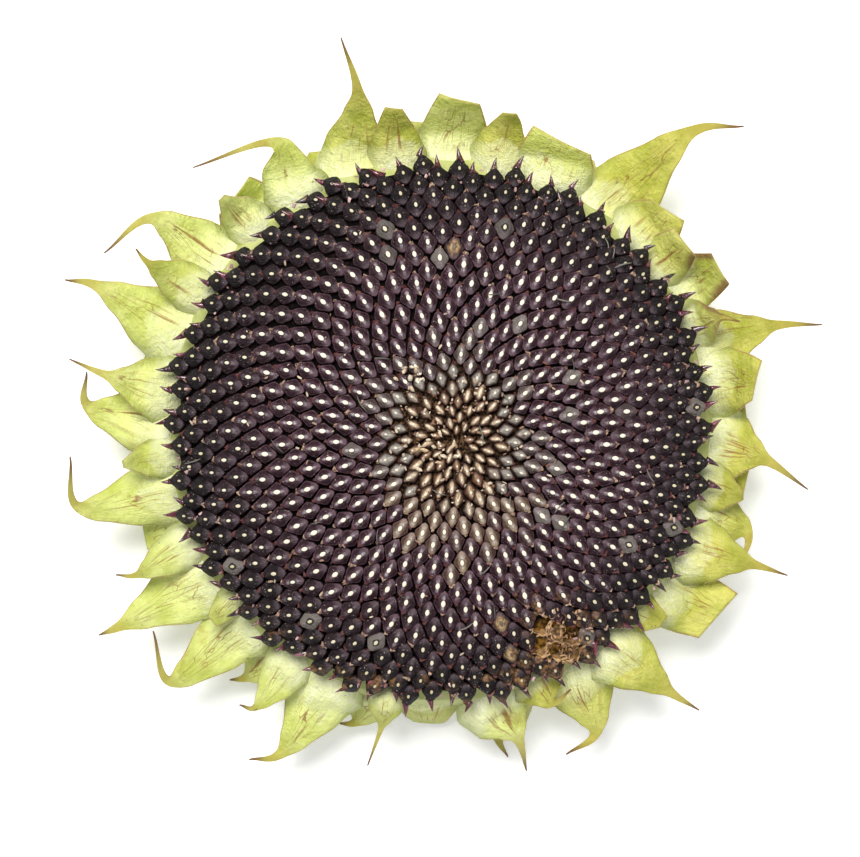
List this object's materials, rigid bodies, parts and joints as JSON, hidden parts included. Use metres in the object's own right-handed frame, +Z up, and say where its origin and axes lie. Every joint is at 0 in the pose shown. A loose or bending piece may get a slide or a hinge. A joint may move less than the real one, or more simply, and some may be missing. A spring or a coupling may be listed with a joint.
{
  "type": "sunflower seed head",
  "caption": "Ripe sunflower head cut off its stalk: a domed spiral of dark seeds with a pale middle, ringed by pointed green bracts.",
  "frame": {"origin": "centre of the flat spot of the flush-cut stalk that the head rests on", "axes": "+Z points up through the seed face and is the head's shortest direction; +Y is the top of the picture"},
  "size_m": [0.247, 0.2391, 0.0558],
  "materials": {
    "green_rind": "soft leafy green, matte, pale at the roots of the bracts",
    "ripe_seed": "purple-black hull with a slight gloss",
    "unfilled_seed": "dry beige-brown, matte"
  },
  "bodies": {
    "root": {"receptacle_and_bracts": "green_rind", "seeds": "ripe_seed", "centre_seeds": "unfilled_seed"}
  },
  "joints": []
}
